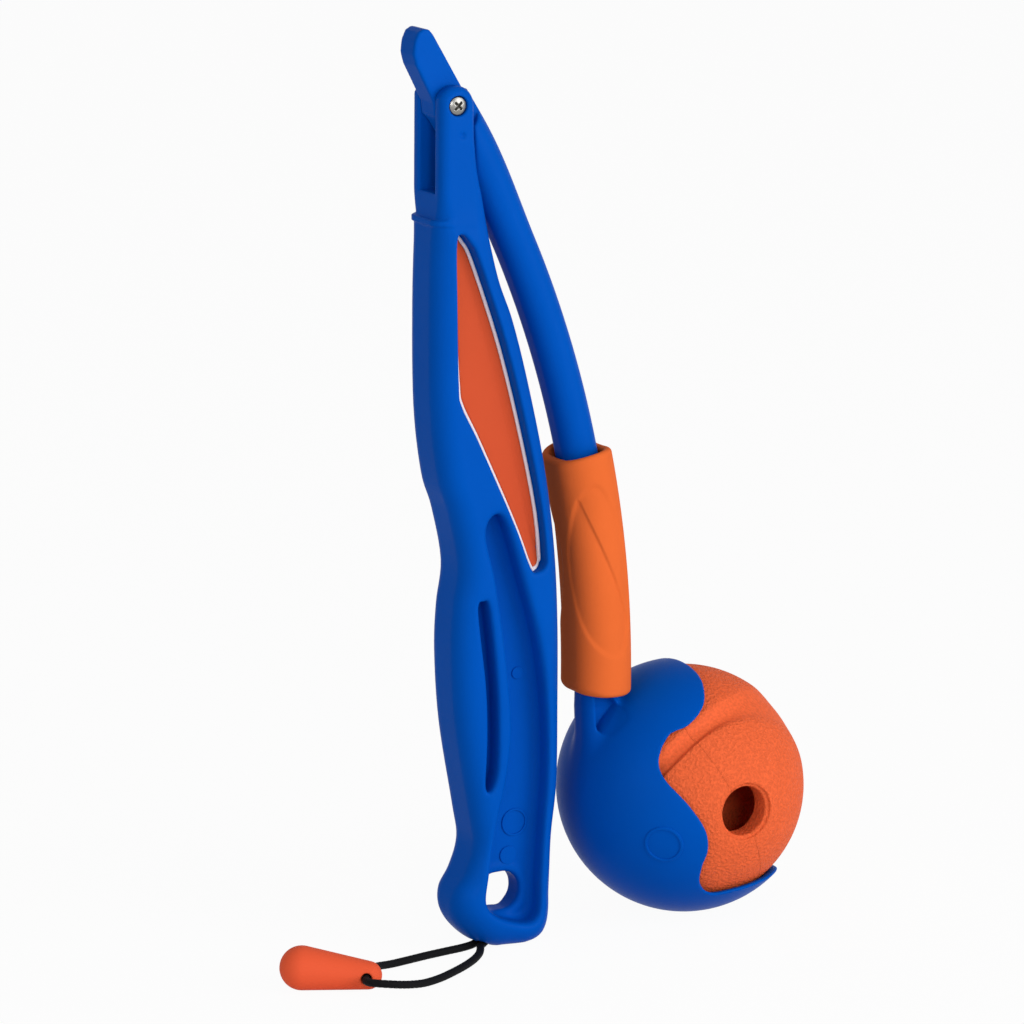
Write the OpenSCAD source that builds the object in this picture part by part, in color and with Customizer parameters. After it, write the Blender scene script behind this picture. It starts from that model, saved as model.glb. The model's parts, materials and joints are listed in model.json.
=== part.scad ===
// Folding ball launcher: a moulded handle, a hinged throwing arm with its ball cup, a sleeve that slides
// along the arm, a rubber ball, and a cord pull. Millimetres, +Z up, origin at the centre of the butt's foot.
// The launcher stands folded, on the foot of its handle and on the base of its cup.

/* [Ball] */
// Diameter of the ball
ball_d = 67.5; // [65:0.5:69]
// Wall of the hollow ball
ball_wall = 7; // [5:0.5:10]
// Diameter of the holes in the ball
ball_hole_d = 14; // [10:0.5:17]
// Width of the smooth groove round the ball
groove_w = 7; // [4:0.5:10]
// Depth of the smooth groove
groove_depth = 1.2; // [0.6:0.1:1.6]

/* [Cup] */
// Gap between the ball and the cup
cup_gap = 0.25; // [0.15:0.05:0.4]
// Wall of the cup
cup_wall = 1.75; // [1.2:0.05:2.5]
// How far the cup stands out behind the arm
cup_set = 3.2; // [2:0.1:4.5]

/* [Arm] */
// Width of the arm, seen from the side
arm_w = 10.6; // [10:0.1:11.4]
// Thickness of the arm
arm_t = 13; // [12:0.5:15]
// Radius of the arm's curve
arm_r = 297; // [290:1:305]
// Angle between the folded arm and the upright, at the hinge
arm_spread = 30.5; // [30:0.1:31.5]
// Length of the tongue past the hinge
tongue_l = 21.8; // [16:0.1:22.5]

/* [Lock sleeve] */
// Length of the sleeve
sleeve_l = 68.5; // [50:0.5:75]
// How far the folded sleeve's lower end lies below the top of the cup
sleeve_drop = 4.3; // [0:0.1:4.6]
// Clearance between the sleeve and what it slides on
sleeve_gap = 0.3; // [0.2:0.05:0.5]
// Wall of the sleeve at its front and back
sleeve_wall = 2.6; // [2:0.1:3.5]
// Wall of the sleeve at its sides
sleeve_side = 1.8; // [1.5:0.1:2.6]

/* [Handle] */
// Length of the grip, from the foot to the shoulder ridge
grip_l = 204; // [198:1:207]
// Width of the grip at its widest, from its front to its back
grip_w = 35.3; // [34.8:0.1:36.5]
// Thickness of the grip
grip_t = 20; // [19.5:0.1:22]
// Radius of the grip's long edges
grip_edge = 6; // [4:0.5:8]
// Web left between the two long recesses
web_t = 5; // [3:0.5:8]
// Web left between the two finger slots
slot_web = 6; // [4:0.5:9]
// Width of the lanyard window
window_w = 14; // [11:0.5:14.5]
// Height of the lanyard window
window_h = 11.5; // [10:0.5:12]

/* [Fork] */
// Height of the hinge above the shoulder ridge
neck_l = 32.4; // [31:0.1:34]
// Thickness of the neck across its two ears
neck_t = 18.6; // [18:0.1:19.4]
// Width of the slot between the ears
fork_w = 9.2; // [8:0.1:10]
// Depth of the slot below the hinge
fork_depth = 24.5; // [24:0.1:26]
// Clearance between the arm and the fork
fork_gap = 0.3; // [0.2:0.05:0.4]
// Radius of the neck's long edges
neck_edge = 2.6; // [1:0.1:3.5]

/* [Hinge screw] */
// Diameter of the screw's shank
screw_d = 3; // [2.5:0.1:3.5]
// Diameter of the screw's head
head_d = 5.2; // [4.8:0.1:6]
// Height of the screw's head
head_h = 1.6; // [1.2:0.1:2]
// Width of the nut across its flats
nut_af = 5.5; // [5:0.1:6]
// Thickness of the nut
nut_t = 2.4; // [1.8:0.1:2.6]
// Radial running clearance on the shank
pin_gap = 0.05; // [0.02:0.01:0.09]

/* [Labels] */
// Depth of the label's face below the side of the grip
label_depth = 4; // [2:0.1:4.5]
// Thickness of the label plate
label_t = 1; // [0.6:0.1:1.5]
// Width of the white border
border_w = 1.3; // [0.8:0.1:2]
// How far the border stands out past the plate
border_proud = 0.2; // [0.1:0.05:0.5]

/* [Cord pull] */
// Diameter of the elastic cord
cord_d = 2.2; // [1.6:0.1:2.25]
// Radius of the pull's wide end
pull_big_r = 6.1; // [5.5:0.1:6.8]
// Radius of the pull's narrow end
pull_small_r = 3.9; // [3.4:0.1:4.3]
// Diameter of the knot that holds the cord's ends
knot_d = 5.4; // [5:0.1:5.8]

/* [Hidden] */
$fn = 48;
over = 1;
fit_gap = 0.1;
blue = [0.02, 0.30, 0.75];
orange = [0.89, 0.38, 0.16];

// Ball and cup
ball_r = ball_d/2;
cup_in_r = ball_r + cup_gap;
cup_r = cup_in_r + cup_wall;
groove_tube_r = (groove_w*groove_w/4 + groove_depth*groove_depth)/(2*groove_depth);
groove_tilt = [-53, 0, 30];
hole_rim_w = 0.7;
hole_rim_depth = 0.4;

// Hinge, and the circle that the arm follows down from it
hinge_x = -8.2;
hinge_z = grip_l + neck_l;
ear_r = arm_w/2;
hub_proud = 0.05;
hub_r = ear_r + hub_proud;
notch_gap = fork_gap + fit_gap;
curve_x = hinge_x - arm_r*cos(arm_spread);
curve_z = hinge_z - arm_r*sin(arm_spread);
tongue_t = fork_w - 2*fork_gap;
neck_lean = 2.3;
ear_steps = [15, 30, 45, 58, 70, 82];

// Where the arm leaves its curve and drops into the cup
sleeve_low = asin((2*cup_r - sleeve_drop - curve_z)/arm_r);
sleeve_high = sleeve_low + sleeve_l/arm_r*180/PI;
drop_turn = 0.9;
arm_low = sleeve_low - drop_turn;
drop_x = curve_x + arm_r*cos(arm_low);
drop_z = curve_z + arm_r*sin(arm_low);
drop_lap = 1;
drop_inset = 0.2;
drop_foot = 4;
cup_x = drop_x - arm_w/2 - cup_set + cup_r;
cup_z = cup_r;

// Sleeve
bore_w = arm_w + 2*sleeve_gap;
bore_t = neck_t + 2*sleeve_gap;
sleeve_w = bore_w + 2*sleeve_wall;
sleeve_t = bore_t + 2*sleeve_side;

// Grip outline: front and back edges as [x, z] for a grip of the nominal length and width
nominal_grip = 203;
nominal_grip_w = 35.3;
front_edge = [[-5, 0], [-9.5, 2.5], [-13, 6], [-15.7, 12], [-14.2, 17], [-10.6, 22], [-9.1, 29],
    [-10.5, 40], [-13.6, 64], [-14.1, 84], [-13, 97], [-11, 109], [-13.3, 124], [-16, 134], [-17.6, 153],
    [-16.7, 181], [-15.5, 203]];
back_edge = [[5, 0], [8.2, 2.5], [10.8, 6], [12, 16], [13.2, 30], [15.6, 45], [16.8, 67], [17.7, 92],
    [17.3, 113], [15.1, 135], [11, 158], [7.1, 175], [3.3, 187], [0.8, 203]];
// Half thickness drawn in towards the foot, as [inset, z]
foot_inset = [[3.5, 0], [1, 2.5], [0, 6], [0, 203]];
grip_steps = concat([0, 0.6, 1.4, 2.5, 4, 6, 8.5, 11, 13.5, 16, 18.5, 21, 24, 28], [for (z = [33:6:203]) z],
    [203]);

// Outlines of the recesses in the grip's sides, as [x, z]
label_outline = [[-8.8, 200.5], [-7, 198.2], [-4.3, 192.5], [2.5, 170], [7.7, 147], [11.8, 124], [13, 108],
    [12.3, 105.4], [10, 105.4], [5.3, 119.6], [-4.7, 143.3], [-9.6, 153.8], [-10.6, 160], [-10.4, 182],
    [-10, 198]];
recess_outline = [[-2, 122.6], [1.6, 120], [6.3, 103], [10.2, 86], [12, 69], [12, 52], [10.3, 35], [8.7, 20],
    [7.4, 9], [4, 5.8], [-2, 6.2], [-7.4, 9.2], [-8.8, 12.5], [-5.5, 20], [-2.6, 31], [0.6, 50], [1.2, 66],
    [0, 85], [-2.2, 104.5], [-4.6, 117.5]];
slot_outline = [[-6.4, 99.4], [-4.5, 96.5], [-3, 74], [-3.6, 54], [-5.6, 46.8], [-7.6, 47.6], [-6.6, 62],
    [-6.5, 76], [-8, 96.5]];
recess_depth = (grip_t - web_t)/2;
slot_depth = (grip_t - slot_web)/2;

// Lanyard window
window_x = -2.4;
window_z = 14.2;
window_edge = 4;

// Cord's way out of the butt: two holes slope down from the knot's pocket and end in level mouths
cord_bend = [-5.7, 0.2, 1.2];
cord_turn = 40;
cord_slope = 40;
cord_gap = 0.35;
strand_space = 2.3;
cord_hole_d = cord_d + 2*cord_gap;
cord_mouth_l = 7;
knot_seat = 3.7;
knot_gap = 0.05;
pocket_l = 8.6;

// Cup's wavy edge as [x, z] from the ball's centre, for a cup of the nominal radius
nominal_cup = 34;
cup_edge = [[0.6, 36], [0.2, 32.6], [-1.5, 29.8], [-4.9, 26.2], [-10.5, 22.7], [-15.7, 20.6], [-19.6, 15.2],
    [-19.5, 10.2], [-15.1, 3.5], [-11.4, -3.2], [-10.2, -9], [-10.9, -14.5], [-9.9, -19.7], [-5.5, -23.6],
    [2, -23.4], [12, -22], [24, -21.5]];

// The pull lies on the floor; its narrow end carries the cord
pull_big_at = [-65.3, -8.1, pull_big_r];
pull_small_at = [-50.3, -17.9, pull_small_r];
pull_way = pull_small_at - pull_big_at;
pull_turn = atan2(pull_way[1], pull_way[0]);
cord_route = [[-1.5, 2.2, 4.9], [-2.4, 1.5, 4], [-3.2, 0.8, 3.1], [-4, 0.1, 2.3], [-5.1, -0.8, 1.5],
    [-6.4, -1.9, 1.2], [-7.7, -3.1, 1.2], [-8.9, -4.6, 1.2], [-10.2, -7, 1.2], [-12.4, -10.3, 1.2],
    [-15.9, -14, 1.2], [-20.5, -17.6, 1.2], [-25.8, -20.9, 1.2], [-31.4, -23.8, 1.2], [-37.2, -26.1, 1.5],
    [-41.9, -27.6, 2.3], [-45.8, -28.6, 3.2], [-48.8, -28.8, 3.9], [-51.2, -28.1, 4.3], [-52.9, -26.2, 4.3],
    [-53.4, -23.8, 4.1], [-52.6, -21.4, 3.9], [-50.3, -17.9, 3.9], [-48, -14.4, 3.9], [-46.4, -12, 3.6],
    [-44.1, -8.9, 2.7], [-40.8, -6.2, 1.8], [-36.6, -5, 1.3], [-31, -4.1, 1.2], [-25, -3.3, 1.2],
    [-19, -2.8, 1.2], [-13.6, -2.4, 1.2], [-10.1, -1.5, 1.2], [-7.9, 0, 1.2], [-6.6, 1, 1.5], [-5.5, 1.9, 2.3],
    [-4.7, 2.5, 3.1], [-3.8, 3.2, 4], [-3, 3.9, 4.9]];
cord_sides = 8;
cord_steps = 2;

// Smooth curve through points: one point of a cubic between b and c, with a and d beyond them
function curve_point(a, b, c, d, t) =
    b + t*((c - a)/2 + t*(a - 2.5*b + 2*c - d/2 + t*(1.5*(b - c) + (d - a)/2)));
function at(p, i) = p[max(0, min(len(p) - 1, i))];
function open_curve(p, n) =
    [for (i = [0:len(p) - 2]) for (k = [0:n - 1]) curve_point(at(p, i - 1), p[i], p[i + 1], at(p, i + 2), k/n),
    p[len(p) - 1]];
function closed_curve(p, n) = let (m = len(p))
    [for (i = [0:m - 1]) for (k = [0:n - 1])
        curve_point(p[(i + m - 1)%m], p[i], p[(i + 1)%m], p[(i + 2)%m], k/n)];

// Grip outlines at the set length and width, and the edge's place at a height
function stretch(p) = [for (q = p) [q[0]*grip_w/nominal_grip_w, q[1]*grip_l/nominal_grip]];
function stretch_z(p) = [for (q = p) [q[0], q[1]*grip_l/nominal_grip]];
function span(p, z) = max([for (i = [0:len(p) - 2]) if (p[i][1] <= z || i == 0) i]);
function edge_x(p, z) = let (i = span(p, z), t = (z - p[i][1])/(p[i + 1][1] - p[i][1]))
    curve_point(at(p, i - 1)[0], p[i][0], p[i + 1][0], at(p, i + 2)[0], t);
label_curve = closed_curve(stretch(label_outline), 4);
recess_curve = closed_curve(stretch(recess_outline), 4);
slot_curve = closed_curve(stretch(slot_outline), 4);

// A level ring with rounded corners, and a solid through a stack of such rings
function ring(x0, x1, half, edge, z) = let (r = min(edge, half - 0.1, (x1 - x0)/2 - 0.1))
    [for (c = [0:3]) for (k = [0:4]) let (a = 90*c + 22.5*k)
        [(c == 0 || c == 3 ? x1 - r : x0 + r) + r*cos(a), (c < 2 ? half - r : r - half) + r*sin(a), z]];
module skin(rings) {
    n = len(rings[0]);
    last = len(rings) - 1;
    points = [for (q = rings) each q];
    walls = [for (j = [0:last - 1]) for (i = [0:n - 1]) let (a = j*n + i, b = j*n + (i + 1)%n)
        each [[a, a + n, b], [b, a + n, b + n]]];
    ends = [[for (i = [0:n - 1]) i], [for (i = [n - 1:-1:0]) last*n + i]];
    polyhedron(points, concat(walls, ends));
}

// Places and shapes that several pieces share
module plate(t) { rotate([90, 0, 0]) linear_extrude(t, center = true) children(); }
module on_side(side_y, depth) {
    translate([0, side_y*(grip_t/2 - depth/2 + over/2), 0]) plate(depth + over) children();
}
module at_hinge() { translate([hinge_x, 0, hinge_z]) rotate([0, neck_lean, 0]) children(); }
module at_cup() { translate([cup_x, 0, cup_z]) children(); }
module across(d, l) { rotate([90, 0, 0]) cylinder(d = d, h = l, center = true); }
// A sphere with its poles at the two sides, where the cup is open and the ball has its holes
module side_sphere(r) { rotate([90, 0, 0]) sphere(r, $fn = 96); }
module stadium(w, t) {
    square([w, t - w], center = true);
    for (s = [-1, 1]) translate([0, s*(t - w)/2]) circle(d = w);
}
module along_curve(from, to) {
    translate([curve_x, 0, curve_z]) rotate([90, 0, 0]) rotate([0, 0, from])
        rotate_extrude(angle = to - from, $fn = 180) translate([arm_r, 0]) children();
}

// Neck outline below the hinge, as [x, z] from it, and the same outline widened by a margin
neck_foot = -neck_l - 4;
neck_front = [[-ear_r - 0.3, neck_foot], [-ear_r, 0]];
neck_back = [[ear_r + 2.9, neck_foot], [ear_r + 0.5, -18], [ear_r, 0]];
module neck_outline(margin) {
    polygon(concat([for (q = neck_front) q - [margin, 0]], [for (i = [2:-1:0]) neck_back[i] + [margin, 0]]));
    circle(r = ear_r + margin);
}
// Half the neck's thickness at a height, with the ears' tops rounded off
function ear_half(z) = let (past = max(0, z - ear_r + neck_edge))
    neck_t/2 - neck_edge + sqrt(neck_edge*neck_edge - past*past);
module neck() {
    below = [for (z = [neck_foot, -27, -18, -9, 0])
        ring(lookup(z, [for (q = neck_front) [q[1], q[0]]]), lookup(z, [for (q = neck_back) [q[1], q[0]]]),
            neck_t/2, neck_edge, z)];
    dome = [for (a = ear_steps) let (x = ear_r*cos(a), z = ear_r*sin(a))
        ring(-x, x, ear_half(z), neck_edge, z)];
    at_hinge() skin(concat(below, dome));
}
module grip() {
    front = stretch(front_edge);
    back = stretch(back_edge);
    thin = stretch_z(foot_inset);
    skin([for (q = grip_steps) let (z = q*grip_l/nominal_grip)
        ring(edge_x(front, z), edge_x(back, z), grip_t/2 - edge_x(thin, z), grip_edge, z)]);
}
module lanyard_window() {
    for (s = [-1, 1]) for (u = [-1, 1])
        translate([window_x + s*(window_w/2 - window_edge), 0, window_z + u*(window_h/2 - window_edge)])
            across(2*window_edge, grip_t + over);
    translate([window_x, 0, window_z]) {
        cube([window_w - 2*window_edge, grip_t + over, window_h], center = true);
        cube([window_w, grip_t + over, window_h - 2*window_edge], center = true);
    }
}
module fork_cuts() {
    at_hinge() {
        translate([-3*ear_r, -fork_w/2, -fork_depth]) cube([6*ear_r, fork_w, fork_depth + 2*ear_r]);
        across(screw_d + 2*pin_gap, neck_t + over);
        translate([0, -neck_t/2 + head_h/2 + fit_gap/2 - over/2, 0])
            across(head_d + 2*fit_gap, head_h + fit_gap + over);
        translate([0, neck_t/2 - nut_t/2 - fit_gap/2 + over/2, 0])
            hex_bar(nut_af + 2*fit_gap, nut_t + fit_gap + over);
    }
}
module at_cord_bend() { translate(cord_bend) rotate([0, 0, cord_turn]) children(); }
module cord_cuts() {
    at_cord_bend() {
        for (s = [-1, 1]) translate([0, s*strand_space/2, 0]) {
            rotate([0, 90 - cord_slope, 0]) cylinder(d = cord_hole_d, h = knot_seat + over);
            translate([over, 0, 0]) rotate([0, -90, 0]) cylinder(d = cord_hole_d + fit_gap, h = cord_mouth_l);
        }
        rotate([0, 90 - cord_slope, 0]) translate([0, 0, knot_seat])
            cylinder(d = knot_d + 2*fit_gap, h = pocket_l);
    }
}
module hex_bar(af, l) { rotate([90, 0, 0]) cylinder(d = af/cos(30), h = l, center = true, $fn = 6); }

module handle_body() {
    color(blue) difference() {
        union() {
            grip();
            neck();
        }
        for (s = [-1, 1]) {
            on_side(s, label_depth + label_t) polygon(label_curve);
            on_side(s, recess_depth) polygon(recess_curve);
            on_side(s, slot_depth) polygon(slot_curve);
        }
        lanyard_window();
        fork_cuts();
        cord_cuts();
    }
}

// Labels: a plate inside a white border, both on the pocket's floor
module label_at(side_y, height) {
    floor_y = grip_t/2 - label_depth - label_t;
    translate([0, side_y*(floor_y + height/2), 0]) plate(height) children();
}
module label_border(side_y) {
    color("white") label_at(side_y, label_t + border_proud) difference() {
        offset(delta = -fit_gap) polygon(label_curve);
        offset(delta = -border_w) polygon(label_curve);
    }
}
module label_plate(side_y) {
    color(orange) label_at(side_y, label_t) offset(delta = -border_w - fit_gap/2) polygon(label_curve);
}

module hinge_screw() {
    cross_w = 0.7;
    cross_l = 3.2;
    cross_depth = 1;
    color("silver") at_hinge() difference() {
        union() {
            translate([0, -neck_t/2 + head_h/2, 0]) across(head_d, head_h);
            translate([0, head_h/2, 0]) across(screw_d, neck_t - head_h);
        }
        for (a = [45, 135]) translate([0, -neck_t/2, 0]) rotate([0, a, 0])
            cube([cross_l, 2*cross_depth, cross_w], center = true);
    }
}
module hinge_nut() {
    color("silver") at_hinge() translate([0, neck_t/2 - nut_t/2, 0]) difference() {
        hex_bar(nut_af, nut_t);
        across(screw_d + 2*pin_gap, nut_t + over);
    }
}

// Throwing arm: tongue, hub, curved shaft and cup in one moulding
module tongue() {
    hub = [for (a = [180:12:360]) hub_r*[cos(a), sin(a)]];
    tip = [[hub_r, tongue_l - 1.5], [hub_r - 2.2, tongue_l], [-1.8, tongue_l - 3.8], [-3.8, 3]];
    translate([hinge_x, 0, hinge_z]) rotate([0, -arm_spread, 0]) plate(tongue_t) polygon(concat(hub, tip));
}
module shaft() {
    difference() {
        along_curve(arm_low, arm_spread) stadium(arm_w, arm_t);
        for (s = [-1, 1]) at_hinge() translate([0, s*(tongue_t/2 + neck_t/2), 0])
            plate(neck_t) neck_outline(notch_gap);
    }
    translate([drop_x, 0, cup_z + drop_foot]) linear_extrude(drop_z - cup_z - drop_foot + drop_lap)
        stadium(arm_w - 2*drop_inset, arm_t - 2*drop_inset);
}
module cup() {
    wave = [for (q = open_curve(cup_edge, 4)) q*cup_r/nominal_cup];
    reach = cup_r + over;
    at_cup() intersection() {
        side_sphere(cup_r);
        plate(2*reach) polygon(concat(wave, [[reach, -reach], [-reach, -reach], [-reach, reach]]));
    }
}
module throwing_arm() {
    color(blue) difference() {
        union() {
            tongue();
            shaft();
            cup();
        }
        at_cup() side_sphere(cup_in_r);
        translate([hinge_x, 0, hinge_z]) across(screw_d + 2*pin_gap, tongue_t + over);
        at_hinge() translate([0, 0, -fork_depth - neck_l/2 + fork_gap])
            intersection() {
                cube([4*neck_l, arm_t + over, neck_l], center = true);
                translate([0, 0, fork_depth + neck_l/2 - fork_gap]) plate(arm_t + over)
                    neck_outline(notch_gap);
            }
    }
}

module lock_sleeve() {
    color(orange) along_curve(sleeve_low, sleeve_high) difference() {
        stadium(sleeve_w, sleeve_t);
        stadium(bore_w, bore_t);
    }
}

module ball() {
    color(orange) at_cup() difference() {
        side_sphere(ball_r);
        side_sphere(ball_r - ball_wall);
        across(ball_hole_d, ball_d + over);
        for (s = [-1, 1]) translate([0, s*ball_r*cos(asin(ball_hole_d/ball_d)), 0])
            across(ball_hole_d + 2*hole_rim_w, 2*hole_rim_depth);
        rotate(groove_tilt) rotate_extrude($fn = 96)
            translate([ball_r - groove_depth + groove_tube_r, 0]) circle(r = groove_tube_r);
    }
}

// Cord pull
function way(p, i) = let (d = at(p, i + 1) - at(p, i - 1)) d/norm(d);
module bungee_cord() {
    path = open_curve(cord_route, cord_steps);
    color([0.05, 0.05, 0.05]) skin([for (i = [0:len(path) - 1])
        let (w = way(path, i), n = cross(w, [0, 0, 1])/norm(cross(w, [0, 0, 1])), b = cross(n, w))
        [for (k = [0:cord_sides - 1]) let (a = 360*k/cord_sides)
            path[i] + cord_d/2*(cos(a)*n + sin(a)*b)]]);
}
module cord_toggle() {
    length = norm(pull_way);
    lean = asin((pull_big_r - pull_small_r)/length);
    arcs = 8;
    flat = 4;
    wide = [for (i = [0:arcs]) let (a = flat - 90 + (90 - flat + lean)*i/arcs) pull_big_r*[cos(a), sin(a)]];
    slim = [for (i = [0:arcs]) let (a = lean + (90 - flat - lean)*i/arcs)
        [0, length] + pull_small_r*[cos(a), sin(a)]];
    ends = [[0, length + pull_small_r*cos(flat)], [0, -pull_big_r*cos(flat)]];
    color(orange) difference() {
        translate(pull_big_at) rotate([0, acos(pull_way[2]/length), pull_turn])
            rotate_extrude() polygon(concat(wide, slim, ends));
        translate(pull_small_at) rotate([0, 0, pull_turn]) across(cord_d + 2*cord_gap, 4*pull_small_r);
    }
}
module cord_knot() {
    color([0.05, 0.05, 0.05]) at_cord_bend() rotate([0, 90 - cord_slope, 0])
        translate([0, 0, knot_seat + knot_gap + knot_d/2]) sphere(d = knot_d);
}

handle_body();
label_border(-1);  // label_border_near
label_border(1);  // label_border_far
label_plate(-1);  // label_plate_near
label_plate(1);  // label_plate_far
hinge_screw();
hinge_nut();
throwing_arm();
lock_sleeve();
ball();
bungee_cord();
cord_toggle();
cord_knot();
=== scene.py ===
"""Looks of the folding ball launcher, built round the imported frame.

Shapes are in millimetres until they are meshes.
"""
import json
import math

import bpy
import numpy as np
from mathutils import Matrix, Vector


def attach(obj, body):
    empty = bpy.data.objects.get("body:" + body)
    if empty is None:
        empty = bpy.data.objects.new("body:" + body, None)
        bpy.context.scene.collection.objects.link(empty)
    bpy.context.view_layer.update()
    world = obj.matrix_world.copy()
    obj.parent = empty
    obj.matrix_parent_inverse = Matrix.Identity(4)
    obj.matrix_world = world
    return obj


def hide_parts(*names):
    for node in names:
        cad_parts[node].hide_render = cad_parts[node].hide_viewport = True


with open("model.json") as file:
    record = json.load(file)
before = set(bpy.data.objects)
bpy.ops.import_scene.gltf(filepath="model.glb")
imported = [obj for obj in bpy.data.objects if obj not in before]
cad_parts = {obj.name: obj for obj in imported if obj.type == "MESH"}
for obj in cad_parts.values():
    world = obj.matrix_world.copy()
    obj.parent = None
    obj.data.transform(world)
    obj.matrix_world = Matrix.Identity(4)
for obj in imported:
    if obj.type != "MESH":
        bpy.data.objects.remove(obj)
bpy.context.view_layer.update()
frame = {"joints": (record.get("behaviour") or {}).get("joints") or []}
MM = 0.001

# Places that the frame gives
places = {j["name"]: np.array(j["pos_m"])/MM for j in frame["joints"]}
hinge = places["arm_fold"]
curve_centre = places["sleeve_slide"]
ball_centre = places["ball_turn"]

# Sizes of the handle
nominal_grip, grip_l, shoulder_z, shoulder_rise = 203.0, 204.0, 205.8, 16.0
grip_half, grip_edge, foot_round = 10.0, 6.0, 3.0
lip_z, lip_half, lip_proud, lip_side, lip_end = 205.0, 0.8, 0.65, 0.15, -11.0
neck_half, neck_edge, neck_lean, neck_foot = 9.3, 2.6, math.radians(2.3), -36.4
ear_r, fork_half, fork_depth = 5.3, 4.6, 23.9
web_half, slot_web_half, label_floor = 2.5, 3.0, 5.0
label_t, border_w, border_proud, label_gap, label_lean = 0.4, 1.1, 0.2, 0.1, 2.8
label_back, label_front = np.array([[-7, 198], [13, 108]]), np.array([[-10, 153.8], [10, 105.4]])
screw_r, head_r, head_h = 1.5, 2.6, 1.6
nut_af, nut_t = 5.5, 2.4
dimple, dimple_r = np.array([-7.4, -9.8, 228.4]), 1.1
window_middle, window_size, window_edge = (-1.3, 15.4), (12.4, 10.7), 5.1
collar_w, collar_far = 2.5, 5.0
cord_bend, cord_turn, cord_slope = np.array([-5.7, 0.2, 1.2]), math.radians(40), math.radians(40)
strand_half, cord_hole_r, knot_r, knot_along = 1.15, 1.45, 2.7, 6.45
cord_hole_l, cord_mouth_l, knot_end = 5, 6, 13
neck_front_in, ear_end = 0.1, 157

# Where the handle's sizes pass from one to another, and by how much
slim_span, slim_by = (198, 214), 1.1
foot_span, foot_back_span, foot_back_share = (4, 24), (-4, 5), 0.7
shoulder_span, neck_fillet_span = (-13, -9), (-13.5, -7)

# Rounding of the handle's edges and rims, the play round what sits in it, and a distance well outside it
top_round, lip_round, floor_round, neck_fillet, collar_fillet = 0.6, 0.5, 0.5, 0.5, 1.5
border_edge, plate_edge, mark_edge, collar_edge = 0.45, 0.25, 0.15, 1.0
recess_edge, recess_rim, slot_edge, slot_rim = 2.2, 2.4, 1.2, 1.4
fork_rim, label_rim, window_rim, cord_rim, dimple_rim = 0.8, 1.2, 1.6, 0.5, 0.3
screw_rim, head_rim, nut_rim = 0.2, 0.5, 0.3
play, head_play, label_play, mouth_play = 0.1, 0.15, 0.05, 0.05
outside = 20.0

# Moulding marks on the recess floor: name, x, z, inner and outer radius
floor_marks = [("mark_upper", 6.6, 76.6, 0.0, 1.7), ("mark_ring", 4.0, 34.4, 3.3, 3.9),
               ("mark_lower", 1.7, 25.3, 0.0, 2.6)]
mark_h = 0.4

# Sizes of the arm, the cup, the sleeve and the ball
arm_r, arm_half_w, arm_core = 297.0, 5.3, 1.2
arm_spread, tongue_half, tongue_edge, relief = math.radians(30.5), 4.3, 0.7, 0.4
shoulder_r, shoulder_swell = 8.4, 1.6
nominal_cup, cup_r, cup_wall = 34.0, 35.75, 1.75
sleeve_half_w, sleeve_core, sleeve_l, sleeve_drop = 8.2, 3.2, 68.5, 4.3
sleeve_edge, sleeve_corner, sleeve_bow = 1.4, 1.4, 1.3
bore_half_w, bore_core, arm_past_sleeve = 5.6, 4.0, math.radians(0.9)
sleeve_low = math.asin((2*cup_r - sleeve_drop - curve_centre[2])/arm_r)
arm_low = sleeve_low - arm_past_sleeve
drop_x = curve_centre[0] + arm_r*math.cos(arm_low)
drop_z = curve_centre[2] + arm_r*math.sin(arm_low)
ball_r, ball_wall, ball_hole_r, hole_rim_w, hole_rim_depth = 33.75, 7.0, 7.0, 1.0, 1.1
hole_way = np.array([0.04, -0.999, -0.02])
groove_depth, groove_way = 1.5, np.array([-0.40, 0.69, 0.60])
groove_high, groove_low, groove_from, groove_widen = 2.3, -2.2, -9.0, 0.0085
seam_way = np.array([0.9, 0.0, 0.437])
ring_at, ring_r, ring_half, ring_proud = np.array([-21.9, -27.2, -7.6]), 5.0, 0.45, 0.35

# Rounding, play and spans on the arm, the cup, the sleeve and the ball
swell_span, ear_rim, core_inset = (12, 46), 1.0, 0.3
tongue_fillet, tongue_play, drop_lap, drop_end = 0.6, 0.05, 0.3, 4
cup_fillet, cup_rim_edge, ring_edge, ring_room = 2.6, 0.7, 0.2, 1
pocket_half, pocket_edge, pocket_rim, pocket_floor = 18, 1.0, 0.8, 0.05
leaf_depth, leaf_deeper, leaf_fade, crease_half, leaf_rim_span = 0.4, 0.5, 5, 0.3, (-0.3, 1.3)
corner_across_span, corner_along_span, bow_most, bore_rim = (2, 8), (4, 16), 1.1, 0.8
groove_soft, groove_softer, groove_rise, groove_over = 0.5, 0.11, 1.7, 0.5
groove_fade, groove_fade_span = 0.55, (8, 36)
ball_blend, hole_rim_edge, hole_edge = 0.4, 0.3, 0.5

# Details of the screw, the nut and the knot
dome_r, head_edge, shank_fillet, shank_from = 5.6, 0.3, 0.1, 0.6
cross_half, cross_reach, cross_depth, cross_rim = 0.36, 1.5, 1.2, 0.15
cross_taper, cross_taper_from = 0.35, 0.1
nut_edge, nut_round, nut_play, nut_hole_rim = 0.15, 0.1, 0.06, 0.25
chamfer_out, chamfer_slope, chamfer_scale = 0.1, 1.2, 0.64
knot_steps, knot_scale, knot_strand_r, knot_heart_r, knot_fillet, knot_room = 72, 0.56, 0.95, 1.7, 0.5, 2.8

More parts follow.
